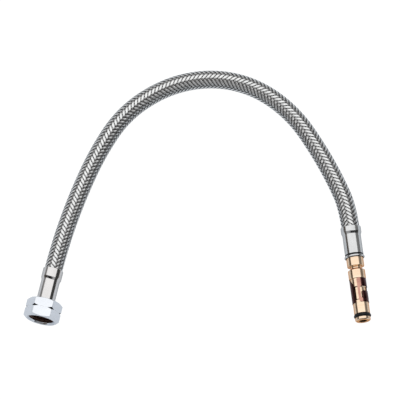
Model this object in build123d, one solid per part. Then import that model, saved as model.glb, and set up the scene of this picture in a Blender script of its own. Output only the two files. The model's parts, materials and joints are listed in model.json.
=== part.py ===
from build123d import *
import math
import os

# Braided supply line: a short flexible hose lying in an arch on a flat surface, with a union nut on one end
# and a push-in plug on the other. Millimetres, +Z up, the surface is z = 0. The origin is on the surface,
# under the middle of the two end fittings. +X runs from the nut end to the plug end.

# ---------------------------------------------------------------- driving dimensions
HOSE_R = 5.5                # outside of the braid
BRAID_BORE_R = 4.95         # inside of the braid
LINER_R = 4.9               # outside of the rubber liner
LINER_BORE_R = 3.6          # waterway
CRIMPED_HOSE_R = 5.0        # outside of the braid under the crimp
CRIMPED_BRAID_BORE_R = 4.55
CRIMPED_LINER_R = 4.5

NUT_FLATS = 19.0            # across flats, for a G3/8 union nut
NUT_LENGTH = 11.8
NUT_BACK_WALL = 1.8
NUT_BACK_HOLE_R = 5.8
THREAD_MINOR_R = 7.475      # G3/8 minor radius
THREAD_RELIEF_R = 8.4

BAND_R = 6.15               # wide band of both ferrules
BARREL_R = 5.6              # crimped barrel of both ferrules
FERRULE_WALL = 0.45

NUT_AXIS_Z = NUT_FLATS / 2  # the nut rests on one flat
TAIL_AXIS_Z = BAND_R        # the plug end rests on its ferrule
HOSE_Z = 5.6
RIGID_GAP = 0.05            # between turned parts that only just clear each other

# ---------------------------------------------------------------- layout
# Each end has its own axis. "Station" below is the distance along that axis from the ferrule's mouth at the
# braid, and it grows towards the free end of the fitting.
NUT_MOUTH_XY = (-86.6, 2.1)
NUT_HEADING = 256.6         # degrees from +X, pointing out of the nut
TAIL_MOUTH_XY = (92.1, 29.7)
TAIL_HEADING = 277.2        # degrees from +X, pointing out of the plug
NUT_HOSE_START = 4.8        # station inside the ferrule where the free hose begins
TAIL_HOSE_START = 3.7
STRAIGHT_OUT_NUT = 14.0     # the hose leaves each ferrule straight
STRAIGHT_OUT_TAIL = 12.5


def heading_vector(degrees):
    return Vector(math.cos(math.radians(degrees)), math.sin(math.radians(degrees)), 0)


def end_plane(mouth_xy, height, degrees):
    # Local z runs along the station, local x points up, local y lies level.
    origin = Vector(mouth_xy[0], mouth_xy[1], height)
    return Plane(origin=origin, x_dir=(0, 0, 1), z_dir=heading_vector(degrees))


NUT_END = end_plane(NUT_MOUTH_XY, NUT_AXIS_Z, NUT_HEADING)
TAIL_END = end_plane(TAIL_MOUTH_XY, TAIL_AXIS_Z, TAIL_HEADING)


def station_point(plane, station):
    return plane.from_local_coords(Vector(0, 0, station))


# The hose's route from the nut end to the plug end.
ROUTE = [
    station_point(NUT_END, NUT_HOSE_START),
    station_point(NUT_END, -STRAIGHT_OUT_NUT),
    Vector(-73.2, 46.7, 7.2),
    Vector(-60.2, 77.2, 5.8),
    Vector(-43.7, 102.7, HOSE_Z),
    Vector(-17.7, 119.7, HOSE_Z),
    Vector(10.3, 124.7, HOSE_Z),
    Vector(36.3, 118.2, HOSE_Z),
    Vector(58.3, 101.2, HOSE_Z),
    Vector(73.3, 78.2, HOSE_Z),
    Vector(83.3, 59.2, 5.7),
    station_point(TAIL_END, -STRAIGHT_OUT_TAIL),
    station_point(TAIL_END, TAIL_HOSE_START),
]
BEND_SHARE = 0.45           # the share of the shorter run beside it that each bend takes


# ---------------------------------------------------------------- helpers
def turned(plane, outline):
    # Solid of revolution about an end's axis. The outline is (radius, station) pairs in order.
    section = Plane.XZ * make_face(Polyline(*outline, close=True))
    return plane * revolve(section, Axis.Z, 360)


def ring(plane, outer, inner, start, stop):
    return turned(plane, [(inner, start), (outer, start), (outer, stop), (inner, stop)])


def route_radii(points):
    radii = []
    for before, here, after in zip(points, points[1:], points[2:]):
        run_in = here - before
        run_out = after - here
        half_turn = math.radians(run_in.get_angle(run_out)) / 2
        shorter = min(run_in.length, run_out.length)
        radii.append(BEND_SHARE * shorter / math.tan(half_turn))
    return radii


RADII = route_radii(ROUTE)
HOSE_PATH = FilletPolyline(*ROUTE, radius=RADII)


def tube_along_route(outer, inner):
    section_plane = Plane(origin=HOSE_PATH @ 0, z_dir=HOSE_PATH % 0)
    solid = sweep(section_plane * Circle(outer), path=HOSE_PATH)
    bore = sweep(section_plane * Circle(inner), path=HOSE_PATH)
    return solid - bore


# ---------------------------------------------------------------- hose
CRIMP_CLOSES = 2.0          # distance over which the crimp closes on the hose
HOSE_END = 19.6             # station where liner and braid are cut off


def crimped_end(plane, start, free, crimped, free_bore, crimped_bore):
    closed = start + CRIMP_CLOSES
    return turned(plane, [
        (free_bore, start), (free, start), (crimped, closed), (crimped, HOSE_END), (crimped_bore, HOSE_END),
        (crimped_bore, closed),
    ])


def hose_layer(free, crimped, free_bore, crimped_bore):
    layer = tube_along_route(free, free_bore)
    for plane, start in ((NUT_END, NUT_HOSE_START), (TAIL_END, TAIL_HOSE_START)):
        layer = layer + crimped_end(plane, start, free, crimped, free_bore, crimped_bore)
    return layer


def make_hose_liner():
    return hose_layer(LINER_R, CRIMPED_LINER_R, LINER_BORE_R, LINER_BORE_R)


def make_hose_braid():
    return hose_layer(HOSE_R, CRIMPED_HOSE_R, BRAID_BORE_R, CRIMPED_BRAID_BORE_R)


# ---------------------------------------------------------------- ferrules
RIM_LENGTH = 0.5            # rounded rim at the braid
RIM_DROP = 0.3
INSIDE_SHIFT = 0.3          # the inside narrows this much further in than the outside
NUT_BAND_END = 5.7
NUT_BARREL_START = 7.3
NUT_FERRULE_END = 22.8
TAIL_BAND_END = 3.6
TAIL_BARREL_START = 5.1
TAIL_FERRULE_END = 19.6
LIP_R = 6.1                 # flared lip of the tail ferrule
LIP_RISE = 17.3             # station where the flare leaves the barrel
LIP_START = 18.4
LIP_END = 19.2
BARREL_BORE_R = BARREL_R - FERRULE_WALL


def ferrule(plane, band_end, barrel_start, free_end):
    # free_end is the part of the outline from the barrel's outside, round its free end, to its bore.
    band_bore_r = BAND_R - FERRULE_WALL
    return turned(plane, [
        (BAND_R - RIM_DROP, 0), (BAND_R, RIM_LENGTH), (BAND_R, band_end), (BARREL_R, barrel_start), *free_end,
        (BARREL_BORE_R, barrel_start + INSIDE_SHIFT), (band_bore_r, band_end + INSIDE_SHIFT), (band_bore_r, 0),
    ])


def make_nut_end_ferrule():
    free_end = [(BARREL_R, NUT_FERRULE_END), (BARREL_BORE_R, NUT_FERRULE_END)]
    return ferrule(NUT_END, NUT_BAND_END, NUT_BARREL_START, free_end)


def make_tail_end_ferrule():
    free_end = [
        (BARREL_R, LIP_RISE), (LIP_R, LIP_START), (LIP_R, LIP_END), (LIP_R - RIM_DROP, TAIL_FERRULE_END),
        (LIP_R - RIM_DROP - FERRULE_WALL, TAIL_FERRULE_END), (BARREL_BORE_R, TAIL_FERRULE_END - 1),
    ]
    return ferrule(TAIL_END, TAIL_BAND_END, TAIL_BARREL_START, free_end)


# ---------------------------------------------------------------- barbed stems shared by both fittings
STEM_START = 7.0            # station of the stem's tip inside the liner
STEM_BORE_R = 2.3
STEM_TIP_R = 2.9
STEM_VALLEY_R = 3.3
STEM_BARB_R = 3.55
BARB_PITCH = 2.4
BARB_COUNT = 5
SHOULDER_START = HOSE_END + 0.1     # the fittings' shoulders begin just past the hose's cut end


def barbed_outline(shoulder_r):
    # Saw-tooth barbs: a slope in the push-on direction, then a sharp step back.
    outline = [(STEM_BORE_R, STEM_START), (STEM_TIP_R, STEM_START)]
    for index in range(BARB_COUNT):
        tooth_end = STEM_START + BARB_PITCH * (index + 1)
        outline.append((STEM_BARB_R, tooth_end))
        outline.append((STEM_VALLEY_R, tooth_end))
    return outline + [(STEM_VALLEY_R, SHOULDER_START), (shoulder_r, SHOULDER_START)]


# ---------------------------------------------------------------- nut end
NUT_BACK = 20.5
NUT_FACE = NUT_BACK + NUT_LENGTH
NUT_CHAMFER_IN = 0.25       # how far inside the flats the chamfers of the corners begin
NUT_CHAMFER_ANGLE = 30.0
NUT_GROOVE_PLACE = 0.47     # share of the nut's length
NUT_GROOVE_R = 9.9          # V-groove turned across the corners only
NUT_GROOVE_SLOPE = 0.75     # axial run of each side of the V per unit of depth
THREAD_RUN_IN = 0.9
MOUTH_CHAMFER = 1.0         # at 45 degrees
MOUTH_OVERCUT = 0.125       # the cutting shapes reach this far past the face
NIPPLE_R = 5.1
COLLAR_R = 7.2
COLLAR_LENGTH = 1.5
SLIDE_RING_LENGTH = 0.7
SLIDE_RING_BORE_R = BARREL_R + 0.08
WASHER_R = 7.3
WASHER_HOLE_R = 4.0
WASHER_LENGTH = 1.8

SLIDE_RING_START = NUT_BACK + NUT_BACK_WALL + RIGID_GAP
SLIDE_RING_END = SLIDE_RING_START + SLIDE_RING_LENGTH
COLLAR_START = SLIDE_RING_END + RIGID_GAP
COLLAR_END = COLLAR_START + COLLAR_LENGTH
WASHER_END = COLLAR_END + WASHER_LENGTH
THREAD_START = WASHER_END + 0.1


def make_nut_nipple():
    outline = barbed_outline(NIPPLE_R)
    outline += [
        (NIPPLE_R, COLLAR_START), (COLLAR_R, COLLAR_START), (COLLAR_R, COLLAR_END), (STEM_BORE_R, COLLAR_END),
    ]
    return turned(NUT_END, outline)


def make_nut_slide_ring():
    return ring(NUT_END, COLLAR_R, SLIDE_RING_BORE_R, SLIDE_RING_START, SLIDE_RING_END)


def make_sealing_washer():
    return ring(NUT_END, WASHER_R, WASHER_HOLE_R, COLLAR_END, WASHER_END)


def nut_envelope(corner_r):
    # What is left after both ends of the corners are chamfered.
    chamfer_r = NUT_FLATS / 2 - NUT_CHAMFER_IN
    chamfer_length = (corner_r - chamfer_r) * math.tan(math.radians(NUT_CHAMFER_ANGLE))
    clear_r = corner_r + 0.01
    return turned(NUT_END, [
        (0, NUT_BACK), (chamfer_r, NUT_BACK), (clear_r, NUT_BACK + chamfer_length),
        (clear_r, NUT_FACE - chamfer_length), (chamfer_r, NUT_FACE), (0, NUT_FACE),
    ])


def nut_groove(corner_r):
    middle = NUT_BACK + NUT_LENGTH * NUT_GROOVE_PLACE
    clear_r = corner_r + 1
    half = (clear_r - NUT_GROOVE_R) * NUT_GROOVE_SLOPE
    return turned(NUT_END, [(clear_r, middle - half), (NUT_GROOVE_R, middle), (clear_r, middle + half)])


def nut_inside():
    wall_end = NUT_BACK + NUT_BACK_WALL
    past_face = NUT_FACE + MOUTH_OVERCUT
    mouth_r = THREAD_MINOR_R + MOUTH_CHAMFER + MOUTH_OVERCUT
    return turned(NUT_END, [
        (0, NUT_BACK - 1), (NUT_BACK_HOLE_R, NUT_BACK - 1), (NUT_BACK_HOLE_R, wall_end),
        (THREAD_RELIEF_R, wall_end), (THREAD_RELIEF_R, THREAD_START - THREAD_RUN_IN),
        (THREAD_MINOR_R, THREAD_START), (THREAD_MINOR_R, NUT_FACE - MOUTH_CHAMFER), (mouth_r, past_face),
        (0, past_face),
    ])


def make_union_nut():
    corner_r = NUT_FLATS / 2 / math.cos(math.radians(30))
    # Two flats level, so that the nut stands on one of them.
    section = NUT_END * Pos(0, 0, NUT_BACK) * RegularPolygon(radius=corner_r, side_count=6, rotation=30)
    prism = extrude(section, NUT_LENGTH)
    return (prism & nut_envelope(corner_r)) - nut_groove(corner_r) - nut_inside()


# ---------------------------------------------------------------- plug end
PLUG_COLLAR_R = 5.15
PLUG_COLLAR_END = 24.8
PLUG_NECK_R = 3.3
PLUG_NECK_START = 25.6
PLUG_NECK_END = 26.2
PLUG_BODY_START = 27.5
PLUG_SEAT_R = 4.6           # the sleeve's seat
PLUG_RELIEF_R = 4.0         # room for the tongues to flex
PLUG_RELIEF_START = 38.0
PLUG_RELIEF_END = 46.6
PLUG_RELIEF_TAPER = 0.6
PLUG_LAND_R = 4.8
PLUG_NOSE_R = 4.65
PLUG_NOSE_CHAMFER = 0.5
PLUG_BORE_R = 2.35
PLUG_BORE_START = 24.0      # station where the stem's bore widens
PLUG_END = 59.0
O_RING_SECTION_R = 1.05
O_RING_STATION = 55.9
O_RING_SEAT_R = 3.15
O_RING_GROOVE_HALF = 1.15

SLEEVE_START = 33.0
SLEEVE_END = 48.1
SLEEVE_R = 5.1
SLEEVE_BORE_R = 4.7


def make_tail_fitting():
    seat_start = SLEEVE_START - RIGID_GAP
    seat_end = SLEEVE_END + RIGID_GAP
    groove_start = O_RING_STATION - O_RING_GROOVE_HALF
    groove_end = O_RING_STATION + O_RING_GROOVE_HALF
    outline = barbed_outline(PLUG_COLLAR_R)
    outline += [
        (PLUG_COLLAR_R, PLUG_COLLAR_END), (PLUG_NECK_R, PLUG_NECK_START), (PLUG_NECK_R, PLUG_NECK_END),
        (PLUG_COLLAR_R, PLUG_BODY_START), (PLUG_COLLAR_R, seat_start), (PLUG_SEAT_R, seat_start),
        (PLUG_SEAT_R, PLUG_RELIEF_START), (PLUG_RELIEF_R, PLUG_RELIEF_START + PLUG_RELIEF_TAPER),
        (PLUG_RELIEF_R, PLUG_RELIEF_END - PLUG_RELIEF_TAPER), (PLUG_SEAT_R, PLUG_RELIEF_END),
        (PLUG_SEAT_R, seat_end), (PLUG_LAND_R, seat_end), (PLUG_LAND_R, groove_start),
        (O_RING_SEAT_R, groove_start), (O_RING_SEAT_R, groove_end), (PLUG_NOSE_R, groove_end),
        (PLUG_NOSE_R, PLUG_END - PLUG_NOSE_CHAMFER), (PLUG_NOSE_R - PLUG_NOSE_CHAMFER, PLUG_END),
        (PLUG_BORE_R, PLUG_END), (PLUG_BORE_R, PLUG_BORE_START), (STEM_BORE_R, PLUG_BORE_START),
    ]
    return turned(TAIL_END, outline)


def make_plug_o_ring():
    centre_r = O_RING_SEAT_R + O_RING_SECTION_R
    section = Plane.XZ * Pos(centre_r, O_RING_STATION) * Circle(O_RING_SECTION_R)
    return TAIL_END * revolve(section, Axis.Z, 360)


# ---------------------------------------------------------------- retaining sleeve
# Its features go by angle round the plug: 0 is level to the right, 90 is straight up.
SLIT_ANGLE = 115.5
SLIT_HALF = 14.5
CORNER_CUT_WIDTH = 3.8      # the cut that leads in to the slit from the hose's side
CORNER_CUT_LENGTH = 3.8
WINDOW_HALF = 52.0          # half the window round each tongue, in degrees
WINDOW_START = 38.4
TONGUE_HALF = 40.0
TONGUE_TIP = 41.2
TONGUE_ROOT = 46.0
TONGUE_ROOT_GAP = 0.15
TONGUE_ANGLES = {"latch_tongue_right": 32.0, "latch_tongue_left": 240.0}


def round_angle(degrees):
    # Local x is up, and the level right-hand side lies along -y of the plug's plane.
    return degrees - 90


def wedge(start, stop, centre_angle, half_angle):
    # A sector that reaches well past the sleeve, used to cut it.
    reach = 3 * SLEEVE_R
    corners = [(0, 0)]
    for offset in (-half_angle, 0, half_angle):
        angle = math.radians(round_angle(centre_angle) + offset)
        corners.append((reach * math.cos(angle), reach * math.sin(angle)))
    return TAIL_END * extrude(Pos(0, 0, start) * make_face(Polyline(*corners, close=True)), stop - start)


def corner_cut():
    # A three-cornered prism that points away from the axis at the slit's left edge. Local x of its plane runs
    # round the sleeve away from the slit, and local y along the station.
    angle = math.radians(round_angle(SLIT_ANGLE + SLIT_HALF))
    outwards = Vector(math.cos(angle), math.sin(angle), 0)
    away = Vector(-math.sin(angle), math.cos(angle), 0)
    plane = Plane(origin=(0, 0, SLEEVE_START), x_dir=away, z_dir=outwards)
    towards_free_end = math.copysign(1, plane.y_dir.Z)
    margin = 1.0
    slope = CORNER_CUT_LENGTH / CORNER_CUT_WIDTH
    corners = [
        (-margin, -margin * towards_free_end), (CORNER_CUT_WIDTH + margin / slope, -margin * towards_free_end),
        (-margin, (CORNER_CUT_LENGTH + margin * slope) * towards_free_end),
    ]
    return TAIL_END * extrude(plane * make_face(Polyline(*corners, close=True)), 2 * SLEEVE_R)


def make_retaining_sleeve():
    sleeve = ring(TAIL_END, SLEEVE_R, SLEEVE_BORE_R, SLEEVE_START, SLEEVE_END)
    sleeve = sleeve - wedge(SLEEVE_START - 1, SLEEVE_END + 1, SLIT_ANGLE, SLIT_HALF) - corner_cut()
    for angle in TONGUE_ANGLES.values():
        sleeve = sleeve - wedge(WINDOW_START, TONGUE_ROOT + TONGUE_ROOT_GAP, angle, WINDOW_HALF)
    return sleeve


def make_latch_tongue(angle):
    shell = ring(TAIL_END, SLEEVE_R, SLEEVE_BORE_R, TONGUE_TIP, TONGUE_ROOT)
    return shell & wedge(TONGUE_TIP - 1, TONGUE_ROOT + 1, angle, TONGUE_HALF)


# ---------------------------------------------------------------- write the parts
def build_parts():
    parts = {
        "hose_liner": make_hose_liner(),
        "hose_braid": make_hose_braid(),
        "nut_end_ferrule": make_nut_end_ferrule(),
        "tail_end_ferrule": make_tail_end_ferrule(),
        "nut_nipple": make_nut_nipple(),
        "nut_slide_ring": make_nut_slide_ring(),
        "sealing_washer": make_sealing_washer(),
        "union_nut": make_union_nut(),
        "tail_fitting": make_tail_fitting(),
        "plug_o_ring": make_plug_o_ring(),
        "retaining_sleeve": make_retaining_sleeve(),
    }
    for name, angle in TONGUE_ANGLES.items():
        parts[name] = make_latch_tongue(angle)
    return parts


PARTS = build_parts()
os.makedirs("parts", exist_ok=True)
for node, solid in PARTS.items():
    export_step(solid, f"parts/{node}.step")

print("bend radii", [round(radius, 1) for radius in RADII])
print("hose path length", round(HOSE_PATH.length, 2))
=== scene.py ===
import bmesh
import bpy
import json
import math
import numpy as np
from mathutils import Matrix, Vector


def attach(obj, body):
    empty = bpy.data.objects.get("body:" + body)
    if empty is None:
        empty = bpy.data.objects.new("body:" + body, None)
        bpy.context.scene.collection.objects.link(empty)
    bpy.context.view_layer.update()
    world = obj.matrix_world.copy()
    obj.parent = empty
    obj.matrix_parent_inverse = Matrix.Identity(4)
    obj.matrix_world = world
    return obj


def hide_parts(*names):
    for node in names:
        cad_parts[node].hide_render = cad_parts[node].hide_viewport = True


# The looks of the braided supply line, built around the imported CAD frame. Blender's units are metres. The
# shapes below are in millimetres and scaled by MM, and those of a fitting are set out about its own axis.
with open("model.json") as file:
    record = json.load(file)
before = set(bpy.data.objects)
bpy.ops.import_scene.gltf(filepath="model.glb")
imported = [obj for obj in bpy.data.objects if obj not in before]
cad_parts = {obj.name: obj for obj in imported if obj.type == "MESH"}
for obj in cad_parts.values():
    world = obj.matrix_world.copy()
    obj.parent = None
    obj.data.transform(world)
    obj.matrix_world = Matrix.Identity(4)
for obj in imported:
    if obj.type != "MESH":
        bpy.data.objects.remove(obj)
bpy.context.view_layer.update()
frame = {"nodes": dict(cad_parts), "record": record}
scene = bpy.context.scene
MM = 0.001


# ---------------------------------------------------------------- the two ends, from the frame's mounts
class End:
    """One end's axis. A station is the distance in mm from the ferrule's mouth towards the free end. Angle 0
    is level, on the right in a view from above where the fitting points down the page, and 90 is straight
    up."""

    def __init__(self, mount_name, mount_station):
        mount = next(m for m in frame["record"]["mounts"] if m["name"] == mount_name)
        self.along = np.array(mount["axis"])
        self.mouth = np.array(mount["pos_m"]) - self.along * mount_station * MM
        self.up = np.array([0.0, 0.0, 1.0])
        self.right = np.cross(self.up, self.along)
        self.heading = math.atan2(self.along[1], self.along[0])

    def on_axis(self, station):
        return self.mouth + self.along * station * MM

    def place(self, angle, radius, station):
        """Points at these angles in degrees, radii and stations in mm. The three are arrays of one shape."""
        angle = np.radians(angle)[..., None]
        radius = radius[..., None] * MM
        offset = np.cos(angle) * self.right + np.sin(angle) * self.up
        return self.mouth + station[..., None] * MM * self.along + radius * offset


nut_end = End("nut_thread", 28.9)
tail_end = End("plug_nose", 57.75)

# ---------------------------------------------------------------- camera
VIEW_CENTRE = Vector((0.0015, 0.0489, 0.0))
VIEW_ELEVATION = 73.2
VIEW_DISTANCE = 6.7
VIEW_LENS = 1000


def make_camera():
    elevation = math.radians(VIEW_ELEVATION)
    back = Vector((0, -math.cos(elevation), math.sin(elevation)))
    camera = bpy.data.objects.new("camera", bpy.data.cameras.new("camera"))
    scene.collection.objects.link(camera)
    camera.data.lens = VIEW_LENS
    camera.location = VIEW_CENTRE + back * VIEW_DISTANCE
    camera.rotation_euler = (-back).to_track_quat("-Z", "Y").to_euler()
    scene.camera = camera


make_camera()

# ---------------------------------------------------------------- the hose's line
NUT_HOSE_START = 4.8        # station inside the ferrule where the free hose begins
TAIL_HOSE_START = 3.7
STRAIGHT_OUT_NUT = 14.0     # the first control point outside the ferrule, in line with it
STRAIGHT_OUT_TAIL = 12.5
ROUTE_RESOLUTION = 48       # points of the spline between two control points
ROUTE = [
    nut_end.on_axis(NUT_HOSE_START),
    nut_end.on_axis(-STRAIGHT_OUT_NUT),
    (-0.0732, 0.0467, 0.0072),
    (-0.0602, 0.0772, 0.0058),
    (-0.0437, 0.1027, 0.0056),
    (-0.0177, 0.1197, 0.0056),
    (0.0103, 0.1247, 0.0056),
    (0.0363, 0.1182, 0.0056),
    (0.0583, 0.1012, 0.0056),
    (0.0733, 0.0782, 0.0056),
    (0.0833, 0.0592, 0.0057),
    tail_end.on_axis(-STRAIGHT_OUT_TAIL),
    tail_end.on_axis(TAIL_HOSE_START),
]


def route_line():
    """Points along the NURBS spline whose control points are the route."""
    curve = bpy.data.curves.new("hose_route", "CURVE")
    curve.dimensions = "3D"
    spline = curve.splines.new("NURBS")
    spline.points.add(len(ROUTE) - 1)
    for point, place in zip(spline.points, ROUTE):
        point.co = (*place, 1)
    spline.order_u = 3
    spline.use_endpoint_u = True
    spline.resolution_u = ROUTE_RESOLUTION
    holder = bpy.data.objects.new("hose_route", curve)
    mesh = bpy.data.meshes.new_from_object(holder)
    line = np.array([v.co for v in mesh.vertices])
    bpy.data.meshes.remove(mesh)
    bpy.data.objects.remove(holder)
    bpy.data.curves.remove(curve)
    return line


class HoseLine:
    """Places points round the hose by the distance along it in mm, the angle from its top towards the inside
    of the arch in degrees, and the radius in mm."""

    def __init__(self, line):
        steps = np.linalg.norm(np.diff(line, axis=0), axis=1)
        self.distance = np.concatenate([[0], np.cumsum(steps)]) / MM
        self.length = self.distance[-1]
        self.line = line
        tangent = np.gradient(line, self.distance, axis=0)
        self.tangent = tangent / np.linalg.norm(tangent, axis=1)[:, None]

    def at(self, values, distance):
        inside = np.clip(distance, 0, self.length)
        return np.stack([np.interp(inside, self.distance, values[:, k]) for k in range(3)], axis=-1)

    def place(self, distance, angle, radius):
        tangent = self.at(self.tangent, distance)
        tangent /= np.linalg.norm(tangent, axis=-1)[..., None]
        beyond = (distance - np.clip(distance, 0, self.length))[..., None] * MM
        middle = self.at(self.line, distance) + beyond * tangent
        up = np.array([0.0, 0.0, 1.0]) - tangent[..., 2:] * tangent
        up /= np.linalg.norm(up, axis=-1)[..., None]
        inward = np.cross(tangent, up)
        angle = np.radians(angle)[..., None]
        return middle + radius[..., None] * MM * (np.cos(angle) * up + np.sin(angle) * inward)


hose = HoseLine(route_line())


# ---------------------------------------------------------------- meshes
def make_object(name, vertices, faces, smooth_angle=50):
    """A smooth-shaded mesh object whose faces point outwards."""
    mesh = bpy.data.meshes.new(name)
    mesh.from_pydata(vertices.reshape(-1, 3).tolist(), [], faces)
    work = bmesh.new()
    work.from_mesh(mesh)
    bmesh.ops.recalc_face_normals(work, faces=work.faces)
    work.to_mesh(mesh)
    work.free()
    mesh.shade_smooth()
    mesh.set_sharp_from_angle(angle=math.radians(smooth_angle))
    piece = bpy.data.objects.new(name, mesh)
    scene.collection.objects.link(piece)
    return piece


def closed_skin(name, loops):
    """A skin through loops of points, (loop, point, 3), closed both along a loop and from the last loop to
    the first. The face between loop i and the next, at point j, is number i * points + j."""
    count, points = loops.shape[:2]
    index = np.arange(count * points).reshape(count, points)
    following = np.roll(index, -1, axis=0)
    corners = [index, following, np.roll(following, -1, axis=1), np.roll(index, -1, axis=1)]
    return make_object(name, loops, np.stack(corners, axis=-1).reshape(-1, 4).tolist())


ROUNDING_STEPS = 4
POINTS_PER_CORNER = ROUNDING_STEPS + 3
# A rounding takes up this much of the shorter run beside its corner.
LEAST_TRIM = 0.02
MOST_TRIM = 0.42
# The point that holds the straight part flat is this far past the rounding, in mm and as a share of the run.
HOLD = 0.04
HOLD_SHARE = 0.05


def rounded(outline, radii, steps=ROUNDING_STEPS):
    """Closed outlines, (..., corner, 2), with every corner rounded. A point beside each rounding holds the
    shading of the straight part flat."""
    to_before = np.roll(outline, 1, axis=-2) - outline
    to_after = np.roll(outline, -1, axis=-2) - outline
    run_before = np.linalg.norm(to_before, axis=-1, keepdims=True)
    run_after = np.linalg.norm(to_after, axis=-1, keepdims=True)
    to_before = to_before / run_before
    to_after = to_after / run_after
    shorter = np.minimum(run_before, run_after)
    cosine = -(to_before * to_after).sum(axis=-1, keepdims=True)
    half_tangent = np.sqrt(np.clip(1 - cosine, 0, None) / np.clip(1 + cosine, 1e-6, None))
    trim = np.clip(np.asarray(radii)[:, None] * half_tangent, LEAST_TRIM * shorter, MOST_TRIM * shorter)
    hold = np.minimum(HOLD, HOLD_SHARE * shorter)
    points = [outline + to_before * (trim + hold)]
    for t in np.linspace(0, 1, steps + 1):
        points.append(outline + to_before * trim * (1 - t) ** 2 + to_after * trim * t**2)
    points.append(outline + to_after * (trim + hold))
    merged = np.stack(points, axis=-2)
    return merged.reshape(*outline.shape[:-2], -1, 2)


def turned(name, end, outlines, angles):
    """A ring-shaped piece about an end's axis: one outline of (radius, station), or one for each angle."""
    outlines = np.broadcast_to(outlines, (len(angles), *outlines.shape[-2:]))
    spread_angles = np.broadcast_to(angles[:, None], outlines.shape[:-1])
    return closed_skin(name, end.place(spread_angles, outlines[..., 0], outlines[..., 1]))


def outline_rows(angles, corners):
    """Corners, (radius, station), where either may vary by angle, as outlines (angle, corner, 2)."""
    rows = [[np.broadcast_to(value, angles.shape) for value in corner] for corner in corners]
    return np.moveaxis(np.array(rows), -1, 0)


def full_circle(count):
    return np.arange(count) * 360 / count


# ---------------------------------------------------------------- node trees
def add_node(tree, kind, settings=None, inputs=None):
    """A node with these settings. An input takes either a value or another node's output."""
    node = tree.nodes.new(kind)
    for name, value in (settings or {}).items():
        setattr(node, name, value)
    for name, value in (inputs or {}).items():
        if isinstance(value, bpy.types.NodeSocket):
            tree.links.new(value, node.inputs[name])
        else:
            node.inputs[name].default_value = value
    return node


def math_node(tree, operation, *values):
    settings = {"operation": operation}
    return add_node(tree, "ShaderNodeMath", settings, dict(enumerate(values))).outputs[0]


def map_range(tree, value, from_low, from_high, to_low, to_high):
    inputs = {
        "Value": value, "From Min": from_low, "From Max": from_high, "To Min": to_low, "To Max": to_high,
    }
    return add_node(tree, "ShaderNodeMapRange", None, inputs).outputs[0]


def local_noise(tree, scale, end=None, detail=3.0):
    """Noise in an end's own axes, x along it, with that many features per metre along each axis."""
    place = add_node(tree, "ShaderNodeTexCoord").outputs["Object"]
    if end is not None:
        inputs = {"Vector": place, "Location": tuple(end.mouth), "Rotation": (0, 0, end.heading)}
        place = add_node(tree, "ShaderNodeMapping", {"vector_type": "TEXTURE"}, inputs).outputs[0]
    place = add_node(tree, "ShaderNodeMapping", None, {"Vector": place, "Scale": scale}).outputs[0]
    inputs = {"Vector": place, "Scale": 1.0, "Detail": detail}
    return add_node(tree, "ShaderNodeTexNoise", None, inputs).outputs["Fac"]


# The colour sockets of a Mix node, which has sockets of these names for each data type.
MIX_COLOUR_A = 6
MIX_COLOUR_B = 7
MIX_COLOUR_RESULT = 2
PAINTED_SHADE = "painted_shade"             # a mesh attribute of painted shade, from 0 where the most shade is painted to 1 where none is
# The noise values between which a colour or a roughness runs from one end to the other.
NOISE_LOW = 0.3
NOISE_HIGH = 0.7


def set_painted_shade(piece, values):
    piece.data.attributes.new(PAINTED_SHADE, "FLOAT", "POINT").data.foreach_set("value", values.ravel())


def smooth_step(values, low, high):
    share = np.clip((values - low) / (high - low), 0, 1)
    return share * share * (3 - 2 * share)


def make_material(
    name, dark, light, roughness, metallic, colour_noise, relief_noise, relief,
    end=None, extra=None, painted_shade_colour=None,
):
    """A surface whose colour runs between dark and light with one noise, and whose roughness and relief
    follow another. Each noise is given by its features per metre along three axes, the end's own if there is
    one. roughness is (smoothest, roughest), and relief the bump's height in mm. extra holds other sockets'
    values. The last argument is the colour of the painted shade, shown where the mesh's painted shade
    attribute is 0."""
    material = bpy.data.materials.new(name)
    material.use_nodes = True
    tree = material.node_tree
    shader = tree.nodes["Principled BSDF"]
    shader.inputs["Metallic"].default_value = metallic
    for socket, value in (extra or {}).items():
        shader.inputs[socket].default_value = value
    tone = map_range(tree, local_noise(tree, colour_noise, end), NOISE_LOW, NOISE_HIGH, 0, 1)
    mix = add_node(tree, "ShaderNodeMix", {"data_type": "RGBA"})
    tree.links.new(tone, mix.inputs["Factor"])
    mix.inputs[MIX_COLOUR_A].default_value = (*dark, 1)
    mix.inputs[MIX_COLOUR_B].default_value = (*light, 1)
    colour = mix.outputs[MIX_COLOUR_RESULT]
    # Painted shade: the colour runs to the painted shade colour where the mesh's attribute falls to 0.
    if painted_shade_colour is not None:
        painted_shade = add_node(tree, "ShaderNodeAttribute", {"attribute_name": PAINTED_SHADE}).outputs["Fac"]
        painted_shade_mix = add_node(tree, "ShaderNodeMix", {"data_type": "RGBA"}, {0: painted_shade})
        painted_shade_mix.inputs[MIX_COLOUR_A].default_value = (*painted_shade_colour, 1)
        tree.links.new(colour, painted_shade_mix.inputs[MIX_COLOUR_B])
        colour = painted_shade_mix.outputs[MIX_COLOUR_RESULT]
    tree.links.new(colour, shader.inputs["Base Color"])
    grain = local_noise(tree, relief_noise, end, detail=4.0)
    rough = map_range(tree, grain, NOISE_LOW, NOISE_HIGH, *roughness)
    tree.links.new(rough, shader.inputs["Roughness"])
    bump_inputs = {"Height": grain, "Distance": relief * MM, "Strength": 1.0}
    bump = add_node(tree, "ShaderNodeBump", None, bump_inputs)
    tree.links.new(bump.outputs[0], shader.inputs["Normal"])
    return material


def finish_piece(piece, body, slot, *materials):
    """Gives a piece its materials and its CAD body. slot, the record's material slot, is not used."""
    for material in materials:
        piece.data.materials.append(material)
    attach(piece, body)


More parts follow.
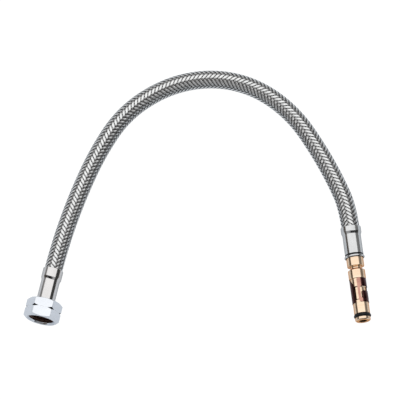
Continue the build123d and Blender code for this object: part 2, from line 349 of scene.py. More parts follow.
# ---------------------------------------------------------------- materials
STEEL_EDGE = {"Specular Tint": (0.6, 0.6, 0.6, 1)}
BRASS_EDGE = {"Specular Tint": (0.85, 0.45, 0.24, 1)}
BRASS = [(0.61, 0.455, 0.325), (0.68, 0.542, 0.405)]
# Fine lines along the drawn steel, and rings round the turned brass.
DRAWN = [(60, 300, 300), (40, 1200, 1200), 0.004]
TURNED = [(700, 60, 60), (2600, 40, 40), 0.0012]
# The braid's near-black colour is painted shade, at the ribbons' edges and where they dip under each other.
braid_steel = make_material(
    "braid_steel", (0.53, 0.535, 0.535), (0.63, 0.635, 0.63), (0.21, 0.3), 1.0,
    (500, 500, 500), (1500, 1500, 1500), 0.001, painted_shade_colour=(0.05, 0.045, 0.045),
)
liner_rubber = make_material(
    "liner_rubber", (0.006, 0.006, 0.007), (0.014, 0.014, 0.015), (0.55, 0.7), 0.0,
    (300, 300, 300), (1500, 1500, 1500), 0.02,
)
nut_ferrule_steel = make_material(
    "nut_ferrule_steel", (0.48, 0.47, 0.465), (0.57, 0.56, 0.555), (0.09, 0.16), 1.0,
    *DRAWN, nut_end, STEEL_EDGE,
)
# A darker copy of the ferrule steel: painted shade on the plug's ferrule.
tail_ferrule_shaded_steel = make_material(
    "tail_ferrule_shaded_steel", (0.43, 0.435, 0.435), (0.53, 0.535, 0.535), (0.09, 0.16), 1.0,
    *DRAWN, tail_end, STEEL_EDGE,
)
nut_chrome = make_material(
    "nut_chrome", (0.555, 0.575, 0.61), (0.59, 0.61, 0.645), (0.05, 0.08), 1.0,
    (120, 120, 120), (400, 400, 400), 0.001, nut_end,
)
# Unplated brass inside the nut, much darker than the brass outside as painted shade.
nut_inside_shaded_brass = make_material(
    "nut_inside_shaded_brass", (0.10, 0.055, 0.045), (0.20, 0.12, 0.10), (0.35, 0.5), 1.0,
    (300, 300, 300), (1500, 1500, 1500), 0.01, nut_end,
)
# Near black: painted shade in the nut's groove and in the crease before the tail ferrule's lip.
painted_shade_crease = make_material(
    "painted_shade_crease", (0.012, 0.012, 0.014), (0.03, 0.03, 0.034), (0.4, 0.55), 1.0,
    (300, 300, 300), (1500, 1500, 1500), 0.005,
)
plug_brass = make_material("plug_brass", *BRASS, (0.07, 0.12), 1.0, *TURNED, tail_end, BRASS_EDGE)
nipple_brass = make_material("nipple_brass", *BRASS, (0.10, 0.18), 1.0, *TURNED, nut_end, BRASS_EDGE)
# The sleeve's dark colour is painted shade, on the sides away from its top.
sleeve_bronze = make_material(
    "sleeve_bronze", (0.34, 0.172, 0.135), (0.435, 0.24, 0.19), (0.12, 0.24), 1.0,
    (220, 160, 160), (900, 500, 500), 0.003, tail_end, painted_shade_colour=(0.055, 0.02, 0.02),
)
seal_rubber = make_material(
    "seal_rubber", (0.003, 0.003, 0.0035), (0.007, 0.007, 0.008), (0.42, 0.55), 0.0,
    (400, 400, 400), (2000, 2000, 2000), 0.01, extra={"Specular IOR Level": 0.25},
)
ring_plastic = make_material(
    "ring_plastic", (0.70, 0.70, 0.67), (0.80, 0.80, 0.77), (0.35, 0.45), 0.0,
    (300, 300, 300), (1200, 1200, 1200), 0.006,
)

# ---------------------------------------------------------------- the braid
CARRIERS = 12               # ribbons each way round
BRAID_LEAD = 30.0           # mm along the hose for one turn of a ribbon
BRAID_R = 5.2               # the weave's middle surface
WEAVE_LIFT = 0.2            # how far a ribbon rises and dips from it
RIBBON_SHADED_EDGE = 1.05     # the painted shade at a ribbon's edge is darkest here, as a share of its half width
RIBBON_SHADE_START = 0.75   # and starts here
RIBBON_WIRES = 6
WIRE_PITCH = 0.22
WIRE_PROFILE = [-0.03, -0.009, 0.0, -0.009]     # from the valley between two wires, over one of them
RIBBON_CROWN = 0.08         # how much lower a ribbon's edges lie than its middle
RIBBON_BASE = 0.12          # from a wire's top to the ribbon's underside
BRAID_PHASE = 23.5          # turns the weave's pattern about the hose's top
CROSSING_STEP = 15.0        # degrees between crossings along a ribbon
CROSSING_HALF = 5.5         # half of one crossing's width
# The weave repeats after six crossings: a right-handed ribbon passes over three left-handed ones and then
# under three. Each pair is the height, or the painted shade, at both sides of one crossing, darkest where a
# ribbon dips under.
WEAVE_PERIOD = 6
OVER_LIFTS = [[0.5, 0.9], [1.0, 1.0], [0.9, 0.5]]
RIGHT_LIFTS = np.concatenate([OVER_LIFTS, np.negative(OVER_LIFTS)])
OVER_PAINTED_SHADES = [[0.4, 1.0], [1.0, 1.0], [1.0, 0.4]]
UNDER_PAINTED_SHADES = [[0.0, 0.3], [0.5, 0.5], [0.3, 0.0]]
PAINTED_SHADES = {1: np.array(OVER_PAINTED_SHADES + UNDER_PAINTED_SHADES), -1: np.array(UNDER_PAINTED_SHADES + OVER_PAINTED_SHADES)}


def ribbon_path(carrier, hand):
    """Distances along the hose, angles, lifts and painted shades of a ribbon's middle, at both sides of each
    crossing."""
    start = carrier * 360 / CARRIERS
    end = start + hand * 360 * hose.length / BRAID_LEAD
    low, high = min(start, end), max(start, end)
    crossing = np.arange(math.floor(low / CROSSING_STEP), math.ceil(high / CROSSING_STEP) + 1)
    angle = (crossing[:, None] * CROSSING_STEP + [-CROSSING_HALF, CROSSING_HALF]).ravel()
    place = crossing % WEAVE_PERIOD
    values = np.stack([hand * RIGHT_LIFTS[place], PAINTED_SHADES[hand][place]]).reshape(2, -1)
    distance = (angle - start) / (hand * 360) * BRAID_LEAD
    order = np.argsort(distance)
    order = order[(distance[order] > 0) & (distance[order] < hose.length)]
    values = values[:, np.concatenate([order[:1], order, order[-1:]])]
    angle = np.concatenate([[start], angle[order], [end]])
    distance = np.concatenate([[0], distance[order], [hose.length]])
    return distance, angle, *values


def ribbon_section():
    """Offsets across a ribbon and heights of its wires' rounded tops, closed by a flat underside."""
    height = np.array(WIRE_PROFILE * RIBBON_WIRES + WIRE_PROFILE[:1])
    across = np.linspace(-RIBBON_WIRES / 2, RIBBON_WIRES / 2, len(height)) * WIRE_PITCH
    height -= RIBBON_CROWN * (across / across[-1]) ** 2
    height[[0, -1]] = -RIBBON_BASE
    return across, height


def braid_piece(name, hand, carriers):
    """Some of the ribbons that wind one way round the hose."""
    across, height = ribbon_section()
    slope = math.atan(2 * math.pi * BRAID_R / BRAID_LEAD)
    vertices, faces, painted_shades = [], [], []
    first = 0
    for carrier in carriers:
        distance, angle, lift, painted_shade = ribbon_path(carrier, hand)
        along = distance[:, None] - hand * across * math.sin(slope)
        around = BRAID_PHASE + angle[:, None] + np.degrees(across * math.cos(slope) / BRAID_R)
        radius = BRAID_R + WIRE_PITCH / 2 + WEAVE_LIFT * lift[:, None] + height
        vertices.append(hose.place(along, around, radius).reshape(-1, 3))
        # Painted shade: each ribbon darkens towards its edges.
        edge = smooth_step(np.abs(across / across[-1]), RIBBON_SHADED_EDGE, RIBBON_SHADE_START)
        painted_shades.append((painted_shade[:, None] * edge).ravel())
        rows, columns = radius.shape
        index = first + np.arange(rows * columns).reshape(rows, columns)
        beside = np.roll(index, -1, axis=1)
        quads = np.stack([index[:-1], index[1:], beside[1:], beside[:-1]], axis=-1)
        faces += quads.reshape(-1, 4).tolist()
        faces += [index[0].tolist(), index[-1][::-1].tolist()]
        first += rows * columns
    piece = make_object(name, np.concatenate(vertices), faces, smooth_angle=45)
    set_painted_shade(piece, np.concatenate(painted_shades))
    finish_piece(piece, "hose", "braid_steel", braid_steel)
    return piece


# ---------------------------------------------------------------- the liner
LINER_R = 4.9
LINER_BORE_R = 3.6
CRIMPED_LINER_R = 4.5
CRIMP_CLOSED = 2.0          # mm past the free hose's end where the crimp has closed on it
CRIMPED_LENGTH = 14.8
LINER_STEP = 1.5
LINER_ANGLES = full_circle(40)


def make_liner():
    free = np.linspace(0, hose.length, round(hose.length / LINER_STEP))
    crimped = np.array([-CRIMPED_LENGTH, -CRIMP_CLOSED])
    distance = np.concatenate([crimped, free, hose.length - crimped[::-1]])
    outside = np.full(len(distance), LINER_R)
    outside[[0, 1, -2, -1]] = CRIMPED_LINER_R
    ring_distance = np.concatenate([distance, distance[::-1]])
    ring_radius = np.concatenate([outside, np.full(len(distance), LINER_BORE_R)])
    places = np.broadcast_arrays(ring_distance[:, None], LINER_ANGLES, ring_radius[:, None])
    piece = closed_skin("hose_liner_tube", hose.place(*places))
    finish_piece(piece, "hose", "liner_rubber", liner_rubber)
    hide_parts("hose_liner")
    return piece


def make_hose():
    for name, hand in (("braid_right_hand", 1), ("braid_left_hand", -1)):
        for half in (0, 1):
            braid_piece(f"{name}_{half + 1}", hand, range(half, CARRIERS, 2))
    liner = make_liner()
    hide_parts("hose_braid")


make_hose()

# ---------------------------------------------------------------- ferrules
BAND_R = 6.15
BARREL_R = 5.6
FERRULE_BORE_R = 5.15
BAND_BORE_R = 5.7
LIP_R = 6.1
CRIMP_JAWS = 8
CRIMP_RIDGE = 0.05          # height of the ridges that the crimping jaws leave
RIDGE_SHARPNESS = 24
NUT_CRIMP_WAVE = 0.2        # how far the band's edge wanders along the axis
TAIL_CRIMP_WAVE = 0.08
WAVE_LAG = 0.6              # radians from a ridge to the edge's crest
NUT_BAND_END = 5.6
NUT_BARREL_START = 7.2
NUT_FERRULE_END = 22.8
TAIL_BAND_END = 3.5
TAIL_BARREL_START = 5.0
TAIL_BARREL_END = 16.9
TAIL_FERRULE_END = 19.55
FERRULE_ANGLES = full_circle(240)
# The band's rolled mouth: the first three corners of both ferrules, and their roundings.
MOUTH_CORNERS = [(5.52, 0.3), (5.75, 0), (BAND_R, 0.2)]
MOUTH_RADII = [0.1, 0.25, 0.3]
BAND_BORE_START = 0.8
LIP_CREASE = (6.5, 7.8)     # the outline's corners between which the crease before the lip gets near-black painted shade


def crimp_marks(wander):
    """The crimped barrel's radius and the band edge's shift, for each angle."""
    phase = np.radians(FERRULE_ANGLES * CRIMP_JAWS / 2)
    ridge = np.abs(np.cos(phase)) ** RIDGE_SHARPNESS
    return BARREL_R - CRIMP_RIDGE * (1 - ridge), wander * np.cos(phase + WAVE_LAG)


def make_nut_end_ferrule():
    barrel, wave = crimp_marks(NUT_CRIMP_WAVE)
    outline = outline_rows(FERRULE_ANGLES, [
        *MOUTH_CORNERS, (BAND_R, NUT_BAND_END + wave), (barrel, NUT_BARREL_START + wave),
        (barrel, NUT_FERRULE_END), (FERRULE_BORE_R, NUT_FERRULE_END), (FERRULE_BORE_R, 7.9),
        (BAND_BORE_R, 6.2), (BAND_BORE_R, BAND_BORE_START),
    ])
    radii = [*MOUTH_RADII, 0.4, 0.4, 0.12, 0.1, 0.3, 0.3, 0.2]
    piece = turned("nut_end_ferrule_shell", nut_end, rounded(outline, radii), FERRULE_ANGLES)
    finish_piece(piece, "hose", "ferrule_steel", nut_ferrule_steel)
    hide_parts("nut_end_ferrule")


def make_tail_end_ferrule():
    barrel, wave = crimp_marks(TAIL_CRIMP_WAVE)
    outline = outline_rows(FERRULE_ANGLES, [
        *MOUTH_CORNERS, (BAND_R, TAIL_BAND_END + wave), (barrel, TAIL_BARREL_START + wave),
        (barrel, TAIL_BARREL_END), (barrel + 0.03, 17.2), (5.3, 17.8), (LIP_R - 0.1, 18.4), (LIP_R, 18.7),
        (LIP_R, 19.2), (5.85, TAIL_FERRULE_END), (5.45, TAIL_FERRULE_END - 0.05), (FERRULE_BORE_R, 18.6),
        (FERRULE_BORE_R, 5.7), (BAND_BORE_R, 4.0), (BAND_BORE_R, BAND_BORE_START),
    ])
    radii = [*MOUTH_RADII, 0.4, 0.4, 0.6, 0.2, 0.1, 0.25, 0.3, 0.35, 0.2, 0.2, 0.3, 0.3, 0.3, 0.2]
    piece = turned("tail_end_ferrule_shell", tail_end, rounded(outline, radii), FERRULE_ANGLES)
    finish_piece(piece, "hose", "ferrule_steel", tail_ferrule_shaded_steel, painted_shade_crease)
    # The crease before the lip gets the near-black painted shade.
    corner = np.arange(outline.shape[1] * POINTS_PER_CORNER) / POINTS_PER_CORNER
    shaded_crease = (corner >= LIP_CREASE[0]) & (corner < LIP_CREASE[1])
    piece.data.polygons.foreach_set("material_index", np.tile(shaded_crease, len(outline)).astype(np.int32))
    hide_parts("tail_end_ferrule")


make_nut_end_ferrule()
make_tail_end_ferrule()

# ---------------------------------------------------------------- union nut
NUT_APOTHEM = 9.5
NUT_BACK = 20.5
NUT_FACE = 32.3
NUT_CORNER_RADIUS = 0.3
NUT_CHAMFER_R = 9.25
NUT_CHAMFER_SLOPE = math.tan(math.radians(30))
NUT_GROOVE_R = 9.9
NUT_GROOVE_SLOPE = 0.75
NUT_GROOVE_LEAST_HALF = 0.02    # where the flats leave the groove no depth
NUT_GROOVE_STATION = NUT_BACK + 0.47 * (NUT_FACE - NUT_BACK)
NUT_BACK_HOLE_R = 5.8
NUT_WALL_END = 22.3
THREAD_RELIEF_R = 8.4
THREAD_MINOR_R = 7.475
THREAD_MAJOR_R = 8.331
THREAD_PITCH = 1.337
THREAD_START = 26.5
THREAD_MOUTH = 31.3         # from here a 45-degree chamfer opens to the face
THREAD_FADES = 1.3          # the thread runs out over this length before the mouth
THREAD_STEP = 0.1
THREAD_FLATNESS = 1.25      # cuts the crests and roots of the triangular profile flat
MOUTH_DEPTH = 0.15          # from the face to the first corner inside the mouth
RELIEF_TAPER = 0.9          # from the relief to the thread's start
# Corners of nut_outside, which the thread and the materials are placed by.
GROOVE_CORNER = 3
MOUTH_CORNER = 8
RELIEF_CORNER = 9
HOLE_CORNERS = 2            # the back hole's corners, at the end of the list


def nut_corner_arc():
    """Distance from the axis to the middle of a rounded corner's arc, and half the angle that it spans."""
    middle = (NUT_APOTHEM - NUT_CORNER_RADIUS) / math.cos(math.radians(30))
    half = math.atan2(NUT_CORNER_RADIUS * 0.5, middle + NUT_CORNER_RADIUS * math.cos(math.radians(30)))
    return middle, math.degrees(half)


def nut_angles():
    """Angles round the nut, close together at the six corners."""
    half = nut_corner_arc()[1]
    corner = np.linspace(-half, half, 7)[:-1]
    flat = np.linspace(half, 60 - half, 49)[:-1]
    return np.concatenate([60 * side + np.concatenate([corner, flat]) for side in range(6)])


def hexagon_radius(angles):
    """Distance from the axis to the hexagon, whose corners are at 0, 60, 120 and so on, and rounded."""
    from_corner = np.abs((angles + 30) % 60 - 30)
    flat = NUT_APOTHEM / np.cos(np.radians(30 - from_corner))
    middle, half = nut_corner_arc()
    turn = np.radians(np.minimum(from_corner, half))
    arc = middle * np.cos(turn) + np.sqrt(NUT_CORNER_RADIUS**2 - (middle * np.sin(turn)) ** 2)
    return np.where(from_corner < half, arc, flat)


def nut_outside(angles):
    """The outside's corners for each angle, from the back hole's edge to the thread's mouth."""
    side = hexagon_radius(angles)
    chamfer = (side - NUT_CHAMFER_R) * NUT_CHAMFER_SLOPE
    groove_depth = np.maximum(side - NUT_GROOVE_R, 0)
    groove_half = groove_depth * NUT_GROOVE_SLOPE + NUT_GROOVE_LEAST_HALF
    mouth_r = THREAD_MINOR_R + NUT_FACE - THREAD_MOUTH
    return outline_rows(angles, [
        (NUT_CHAMFER_R, NUT_BACK),
        (side, NUT_BACK + chamfer),
        (side, NUT_GROOVE_STATION - groove_half),
        (side - groove_depth, NUT_GROOVE_STATION),
        (side, NUT_GROOVE_STATION + groove_half),
        (side, NUT_FACE - chamfer),
        (NUT_CHAMFER_R, NUT_FACE),
        (mouth_r, NUT_FACE),
        (mouth_r - MOUTH_DEPTH, NUT_FACE - MOUTH_DEPTH),
        (THREAD_RELIEF_R, THREAD_START - RELIEF_TAPER),
        (THREAD_RELIEF_R, NUT_WALL_END),
        (NUT_BACK_HOLE_R, NUT_WALL_END),
        (NUT_BACK_HOLE_R, NUT_BACK),
    ])


def nut_thread(angles):
    """The thread's surface for each angle, from the mouth inwards."""
    station = np.arange(NUT_FACE - MOUTH_DEPTH - THREAD_STEP, THREAD_START, -THREAD_STEP)
    turn = station / THREAD_PITCH + angles[:, None] / 360
    triangle = 1 - 4 * np.abs(turn % 1 - 0.5)
    fade = np.clip((THREAD_MOUTH - station) / THREAD_FADES, 0, 1)
    wave = np.clip(THREAD_FLATNESS * triangle, -1, 1)
    depth = fade * (THREAD_MAJOR_R - THREAD_MINOR_R) / 2 * (1 + wave)
    radius = np.maximum(THREAD_MINOR_R + depth, THREAD_MINOR_R + station - THREAD_MOUTH)
    return np.stack([radius, np.broadcast_to(station, radius.shape)], axis=-1)


def make_union_nut():
    angles = nut_angles()
    radii = [0.25, 0.2, 0.1, 0.06, 0.1, 0.25, 0.25, 0.2, 0.05, 0.2, 0.1, 0.1, 0.15]
    outside = rounded(nut_outside(angles), radii)
    relief = RELIEF_CORNER * POINTS_PER_CORNER
    loops = np.concatenate([outside[:, :relief], nut_thread(angles), outside[:, relief:]], axis=1)
    piece = turned("union_nut_body", nut_end, loops, angles)
    finish_piece(piece, "union_nut", "nut_chrome", nut_chrome, nut_inside_shaded_brass, painted_shade_crease)
    # The plating reaches as far as the mouth's chamfer, and the brass shows inside, darkened with painted
    # shade. The groove round the flats gets near-black painted shade.
    points = np.arange(loops.shape[1])
    hole = len(points) - HOLE_CORNERS * POINTS_PER_CORNER
    inside = (points >= MOUTH_CORNER * POINTS_PER_CORNER) & (points < hole)
    inside &= loops[0, :, 1] <= THREAD_MOUTH - 0.05
    groove = GROOVE_CORNER * POINTS_PER_CORNER
    shaded_groove = (points >= groove - 1) & (points < groove + POINTS_PER_CORNER)
    material_index = np.tile(inside + 2 * shaded_groove, len(angles)).astype(np.int32)
    piece.data.polygons.foreach_set("material_index", material_index)
    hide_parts("union_nut")


make_union_nut()

# ---------------------------------------------------------------- plug
PLUG_COLLAR_R = 5.15
PLUG_NECK_R = 3.3
PLUG_RECESS_R = 4.6
PLUG_RELIEF_R = 4.0
PLUG_LAND_R = 4.8
PLUG_NOSE_R = 4.65
PLUG_BORE_R = 2.35
PLUG_SHOULDER = 19.7        # stations along the plug
PLUG_COLLAR_END = 24.8
PLUG_NECK_START = 25.6
PLUG_NECK_END = 26.2
PLUG_BODY_START = 27.5
PLUG_RELIEF_START = 38.6
PLUG_RELIEF_END = 46.0
PLUG_RELIEF_TAPER = 0.6
PLUG_BORE_START = 24.0
PLUG_NOSE_CHAMFER = 0.5
RECESS_GAP = 0.05           # end play of the sleeve in its recess
STEM_BORE_R = 2.3
STEM_VALLEY_R = 3.3
STEM_BARB_R = 3.55
STEM_START = 7.0
BARB_PITCH = 2.4
BARB_COUNT = 5
BARB_STEP = 0.02            # a barb drops to the valley over this length
O_RING_R = 4.2
O_RING_STATION = 55.9
O_RING_SECTION_R = 1.05
O_RING_GROOVE_R = 3.15
O_RING_GROOVE_HALF = 1.15
PLUG_END = 59.0
SLEEVE_START = 33.0
SLEEVE_END = 48.1
SLEEVE_R = 5.1
SLEEVE_BORE_R = 4.7


def make_tail_fitting():
    """Each corner is its radius, its station and its rounding."""
    corners = [(STEM_BORE_R, STEM_START, 0.1), (STEM_VALLEY_R - 0.4, STEM_START, 0.1)]
    for barb in range(1, BARB_COUNT + 1):
        tooth_end = STEM_START + BARB_PITCH * barb
        corners.append((STEM_BARB_R, tooth_end, 0.05))
        corners.append((STEM_VALLEY_R, tooth_end + BARB_STEP, 0.05))
    recess_start = SLEEVE_START - RECESS_GAP
    recess_end = SLEEVE_END + RECESS_GAP
    groove_start = O_RING_STATION - O_RING_GROOVE_HALF
    groove_end = O_RING_STATION + O_RING_GROOVE_HALF
    corners += [
        (STEM_VALLEY_R, PLUG_SHOULDER, 0.1), (PLUG_COLLAR_R, PLUG_SHOULDER, 0.1),
        (PLUG_COLLAR_R, PLUG_COLLAR_END, 0.15), (PLUG_NECK_R, PLUG_NECK_START, 0.15),
        (PLUG_NECK_R, PLUG_NECK_END, 0.15), (PLUG_COLLAR_R, PLUG_BODY_START, 0.25),
        (PLUG_COLLAR_R, recess_start, 0.12), (PLUG_RECESS_R, recess_start, 0.05),
        (PLUG_RECESS_R, PLUG_RELIEF_START - PLUG_RELIEF_TAPER, 0.2), (PLUG_RELIEF_R, PLUG_RELIEF_START, 0.2),
        (PLUG_RELIEF_R, PLUG_RELIEF_END, 0.2), (PLUG_RECESS_R, PLUG_RELIEF_END + PLUG_RELIEF_TAPER, 0.2),
        (PLUG_RECESS_R, recess_end, 0.05), (PLUG_LAND_R, recess_end, 0.1),
        (PLUG_LAND_R, groove_start, 0.12), (O_RING_GROOVE_R, groove_start, 0.1),
        (O_RING_GROOVE_R, groove_end, 0.1), (PLUG_NOSE_R, groove_end, 0.12),
        (PLUG_NOSE_R, PLUG_END - PLUG_NOSE_CHAMFER, 0.25), (PLUG_NOSE_R - PLUG_NOSE_CHAMFER, PLUG_END, 0.25),
        (PLUG_BORE_R, PLUG_END, 0.05), (PLUG_BORE_R, PLUG_BORE_START, 0.02),
        (STEM_BORE_R, PLUG_BORE_START - 0.1, 0.02),
    ]
    corners = np.array(corners)
    outline = rounded(corners[:, :2], corners[:, 2])
    piece = turned("tail_fitting_body", tail_end, outline, full_circle(128))
    finish_piece(piece, "hose", "plug_brass", plug_brass)
    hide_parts("tail_fitting")


def make_o_ring():
    around = np.radians(full_circle(28))
    radius = O_RING_R + O_RING_SECTION_R * np.cos(around)
    station = O_RING_STATION + O_RING_SECTION_R * np.sin(around)
    piece = turned("plug_o_ring_seal", tail_end, np.stack([radius, station], axis=-1), full_circle(96))
    finish_piece(piece, "hose", "seal_rubber", seal_rubber)
    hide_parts("plug_o_ring")


make_tail_fitting()
make_o_ring()

# ---------------------------------------------------------------- retaining sleeve
SLIT_ANGLE = 115.5          # the middle of the slit, about the plug's axis
SLIT_HALF = 14.5
RIGHT_TONGUE = 83.5         # degrees from the slit to the middle of each tongue
LEFT_TONGUE = 235.5
WINDOW_HALF = 52.0
WINDOW_START = 38.4
WINDOW_END = 46.15
TONGUE_HALF = 40.0
TONGUE_TIP = 41.2
TONGUE_ROOT = 46.12
SHEET_MIDDLE_R = (SLEEVE_R + SLEEVE_BORE_R) / 2
SHEET_STEP = 0.6            # greatest distance between two points of a cut edge
CORNER_STEPS = 8
STRIP_DEGREES = 2.5
SHEET_EDGE = 0.05           # rounding of the sheet's cut edges
FLAT_ANGLE = 0.4            # triangles that meet at less than this angle in degrees are joined
CUT_EDGE_ANGLE = 40         # edges sharper than this are rounded
CORNER_CUT = 3.8            # height of the sloping cut at the sleeve's upper left corner
CORNER_CUT_WIDTH = 4.2


def arc_length(degrees):
    return math.radians(degrees) * SHEET_MIDDLE_R


def sheet_loop(corners):
    """A closed outline on the unrolled sheet from corners (across, station, rounding), in evenly spaced
    points."""
    corners = np.array(corners)
    outline = rounded(corners[:, :2], corners[:, 2], steps=CORNER_STEPS)
    points = []
    for start, stop in zip(outline, np.roll(outline, -1, axis=0)):
        pieces = max(1, round(np.linalg.norm(stop - start) / SHEET_STEP))
        points += [start + (stop - start) * part / pieces for part in range(pieces)]
    return points


def rolled_sheet(name, loops):
    """Sheet metal cut to an outline with holes, and rolled round the plug. Across runs from the slit,
    clockwise for someone who looks from the free end towards the hose."""
    work = bmesh.new()
    for loop in loops:
        vertices = [work.verts.new((across, station, 0)) for across, station in loop]
        for one, other in zip(vertices, vertices[1:] + vertices[:1]):
            work.edges.new((one, other))
    bmesh.ops.triangle_fill(work, use_beauty=True, use_dissolve=False, edges=work.edges[:])
    for cut in np.arange(STRIP_DEGREES, 360, STRIP_DEGREES):
        geometry = work.verts[:] + work.edges[:] + work.faces[:]
        bmesh.ops.bisect_plane(
            work, geom=geometry, dist=1e-5, plane_co=(arc_length(cut), 0, 0), plane_no=(1, 0, 0),
        )
    flat = np.array([v.co for v in work.verts])
    work.verts.index_update()
    faces = [[v.index for v in face.verts] for face in work.faces]
    border = [[v.index for v in edge.verts] for edge in work.edges if len(edge.link_faces) == 1]
    work.free()
    angle = SLIT_ANGLE - np.degrees(flat[:, 0] / SHEET_MIDDLE_R)
    count = len(flat)
    radii = [np.full(count, radius) for radius in (SLEEVE_R, SLEEVE_BORE_R)]
    skins = [tail_end.place(angle, radius, flat[:, 1]) for radius in radii]
    faces += [[index + count for index in face[::-1]] for face in faces]
    faces += [[one, other, other + count, one + count] for one, other in border]
    piece = make_object(name, np.concatenate(skins), faces)
    clean_sheet(piece)
    paint_sheet_shade(piece)
    return piece


def clean_sheet(piece):
    """Joins the triangles within each strip, and rounds the cut edges."""
    work = bmesh.new()
    work.from_mesh(piece.data)
    flat = math.radians(FLAT_ANGLE)
    bmesh.ops.dissolve_limit(work, angle_limit=flat, verts=work.verts, edges=work.edges)
    bmesh.ops.recalc_face_normals(work, faces=work.faces)
    sharp = [edge for edge in work.edges if edge.calc_face_angle(0) > math.radians(CUT_EDGE_ANGLE)]
    bmesh.ops.bevel(
        work, geom=sharp, offset=SHEET_EDGE * MM, offset_type="OFFSET", segments=2, profile=0.5,
        affect="EDGES", clamp_overlap=True,
    )
    work.to_mesh(piece.data)
    work.free()
    piece.data.shade_smooth()
    piece.data.set_sharp_from_angle(angle=math.radians(50))


# The sheet keeps its copper colour from the slit down to this angle, near its top, and gets painted shade
# elsewhere.
UNSHADED_FROM = 71.0
UNSHADED_TO = 122.0
SHADE_BLEND = 5.0        # degrees over which the one runs into the other


# Painted shade on the sheet: copper near its top, dark on the sides away from it.
def paint_sheet_shade(piece):
    place = np.array([v.co for v in piece.data.vertices]) - tail_end.mouth
    angle = np.degrees(np.arctan2(place @ tail_end.up, place @ tail_end.right)) % 360
    unshaded = smooth_step(angle, UNSHADED_FROM, UNSHADED_FROM + SHADE_BLEND)
    set_painted_shade(piece, unshaded * smooth_step(angle, UNSHADED_TO + SHADE_BLEND, UNSHADED_TO))


def window_loop(middle):
    """The window round a tongue, with large roundings at the tongue's root."""
    half = arc_length(WINDOW_HALF)
    return sheet_loop([
        (middle - half, WINDOW_START, 0.6), (middle + half, WINDOW_START, 0.6),
        (middle + half, WINDOW_END, 2.0), (middle - half, WINDOW_END, 2.0),
    ])


def make_retaining_sleeve():
    first = arc_length(SLIT_HALF)
    last = arc_length(360 - SLIT_HALF)
    outer = sheet_loop([
        (first, SLEEVE_START, 1.3), (last - CORNER_CUT_WIDTH, SLEEVE_START, 0.8),
        (last, SLEEVE_START + CORNER_CUT, 1.2), (last, SLEEVE_END, 1.0), (first, SLEEVE_END, 2.0),
    ])
    windows = [window_loop(arc_length(middle)) for middle in (RIGHT_TONGUE, LEFT_TONGUE)]
    piece = rolled_sheet("retaining_sleeve_sheet", [outer, *windows])
    finish_piece(piece, "retaining_sleeve", "sleeve_bronze", sleeve_bronze)
    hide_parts("retaining_sleeve")


def make_latch_tongue(node, middle):
    half = arc_length(TONGUE_HALF)
    middle = arc_length(middle)
    outline = sheet_loop([
        (middle - half, TONGUE_TIP, 0.5), (middle + half, TONGUE_TIP, 0.5),
        (middle + half, TONGUE_ROOT, 1.4), (middle - half, TONGUE_ROOT, 1.4),
    ])
    piece = rolled_sheet(node + "_blade", [outline])
    finish_piece(piece, node, "sleeve_bronze", sleeve_bronze)
    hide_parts(node)


make_retaining_sleeve()
make_latch_tongue("latch_tongue_right", RIGHT_TONGUE)
make_latch_tongue("latch_tongue_left", LEFT_TONGUE)

# ---------------------------------------------------------------- CAD nodes that show as they are
CARRIED_NODES = {
    "nut_nipple": (nipple_brass, "plug_brass"),
    "nut_slide_ring": (ring_plastic, "ring_plastic"),
    "sealing_washer": (seal_rubber, "seal_rubber"),
}
for node_name, (material, slot_name) in CARRIED_NODES.items():
    node = frame["nodes"][node_name]
    for material_slot in node.material_slots:
        material_slot.material = material


# ---------------------------------------------------------------- floor and light
# The studio is a soft box overhead, with gaps of dark studio beside it, and pale walls. Each side of the box
# has its tones by the degrees from straight up towards that side, and the darkest of the four counts.
BOX_LIGHT = 1.6
BOX = (1.0, 1.0, 1.0)
GAP = (0.045, 0.045, 0.045)
WARM_GAP = (0.10, 0.085, 0.075)
DEEP_GAP = (0.012, 0.012, 0.014)
WALL = (0.36, 0.35, 0.345)
FRONT_WALL = (0.4, 0.4, 0.405)
FRONT_FOOT = (0.2, 0.2, 0.2)
SIDES = {
    "left": [(60, BOX), (64, WARM_GAP), (85, WARM_GAP), (90, WALL)],
    "right": [(46, BOX), (50, GAP), (85, GAP), (91, WALL)],
    "front": [
        (10, BOX), (13, DEEP_GAP), (26, DEEP_GAP), (32, FRONT_WALL), (58, FRONT_WALL), (72, FRONT_FOOT),
    ],
    "back": [(58, BOX), (70, WALL)],
}
# The gaps at the left and right are paler towards the back, by the slope of the direction from sideways.
PALER_FROM = 0.2
PALER_TO = 0.5
PALER_GAP = 0.22
MOST_DEGREES = 180
BACKDROP = (1.0, 1.0, 1.0, 1)


def side_tones(tree, outward, up, tones):
    radians = math_node(tree, "ARCTAN2", outward, up)
    share = math_node(tree, "MULTIPLY", radians, 1 / math.pi)
    ramp = add_node(tree, "ShaderNodeValToRGB", None, {"Fac": share})
    elements = ramp.color_ramp.elements
    while len(elements) < len(tones):
        elements.new(0.5)
    for element, (degrees, colour) in zip(elements, tones):
        element.position = degrees / MOST_DEGREES
        element.color = (*colour, 1)
    return ramp.outputs["Color"]


def mix_tones(tree, kind, one, other):
    node = add_node(tree, "ShaderNodeMix", {"data_type": "RGBA", "blend_type": kind}, {0: 1.0})
    tree.links.new(one, node.inputs[MIX_COLOUR_A])
    tree.links.new(other, node.inputs[MIX_COLOUR_B])
    return node.outputs[MIX_COLOUR_RESULT]


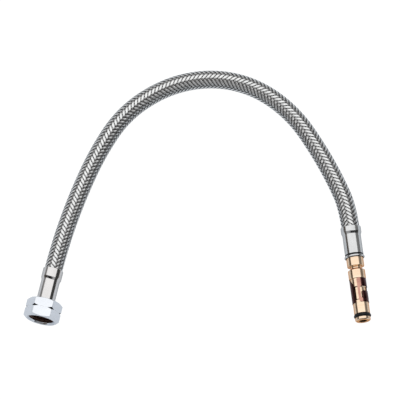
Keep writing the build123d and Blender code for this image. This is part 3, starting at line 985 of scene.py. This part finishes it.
def make_world():
    world = bpy.data.worlds.new("studio")
    scene.world = world
    world.use_nodes = True
    tree = world.node_tree
    tree.nodes.clear()
    direction = add_node(tree, "ShaderNodeTexCoord").outputs["Generated"]
    parts = add_node(tree, "ShaderNodeSeparateXYZ", None, {0: direction})
    x, y, up = parts.outputs
    outward = {
        "left": math_node(tree, "MULTIPLY", x, -1.0), "right": x,
        "front": math_node(tree, "MULTIPLY", y, -1.0), "back": y,
    }
    sideways = math_node(tree, "ABSOLUTE", x)
    slope = math_node(tree, "DIVIDE", y, sideways)
    paler = map_range(tree, slope, PALER_FROM, PALER_TO, 0, PALER_GAP)
    tone = None
    for side, tones in SIDES.items():
        side_tone = side_tones(tree, outward[side], up, tones)
        if side in ("left", "right"):
            side_tone = mix_tones(tree, "LIGHTEN", side_tone, paler)
        tone = side_tone if tone is None else mix_tones(tree, "DARKEN", tone, side_tone)
    studio = add_node(tree, "ShaderNodeBackground", None, {"Color": tone, "Strength": BOX_LIGHT})
    backdrop = add_node(tree, "ShaderNodeBackground", None, {"Color": BACKDROP, "Strength": 1.0})
    seen = add_node(tree, "ShaderNodeLightPath").outputs["Is Camera Ray"]
    shaders = {0: seen, 1: studio.outputs[0], 2: backdrop.outputs[0]}
    mixed = add_node(tree, "ShaderNodeMixShader", None, shaders)
    add_node(tree, "ShaderNodeOutputWorld", None, {"Surface": mixed.outputs[0]})


FLOOR_HALF = 3.0
FLOOR_HEIGHT = -0.0001
FLOOR_TONE = (0.95, 0.95, 0.95, 1)
# The share of an even glow, and its colour, in what polished surfaces and the camera see of the floor.
FLOOR_GLOWS = [("Is Glossy Ray", 0.4, (1.0, 1.1, 1.22, 1)), ("Is Camera Ray", 0.9, (1.1, 1.1, 1.1, 1))]


def make_floor():
    around = ((-1, -1), (1, -1), (1, 1), (-1, 1))
    corners = [(x * FLOOR_HALF, y * FLOOR_HALF, FLOOR_HEIGHT) for x, y in around]
    mesh = bpy.data.meshes.new("floor")
    mesh.from_pydata(corners, [], [(0, 1, 2, 3)])
    floor = bpy.data.objects.new("floor", mesh)
    scene.collection.objects.link(floor)
    material = bpy.data.materials.new("floor")
    material.use_nodes = True
    tree = material.node_tree
    tree.nodes.clear()
    shader = add_node(tree, "ShaderNodeBsdfDiffuse", None, {"Color": FLOOR_TONE}).outputs[0]
    rays = add_node(tree, "ShaderNodeLightPath").outputs
    for ray, most, colour in FLOOR_GLOWS:
        glow = add_node(tree, "ShaderNodeEmission", None, {"Color": colour}).outputs[0]
        share = math_node(tree, "MULTIPLY", rays[ray], most)
        shader = add_node(tree, "ShaderNodeMixShader", None, {0: share, 1: shader, 2: glow}).outputs[0]
    add_node(tree, "ShaderNodeOutputMaterial", None, {"Surface": shader})
    mesh.materials.append(material)


make_world()
make_floor()
scene.view_settings.view_transform = "Standard"
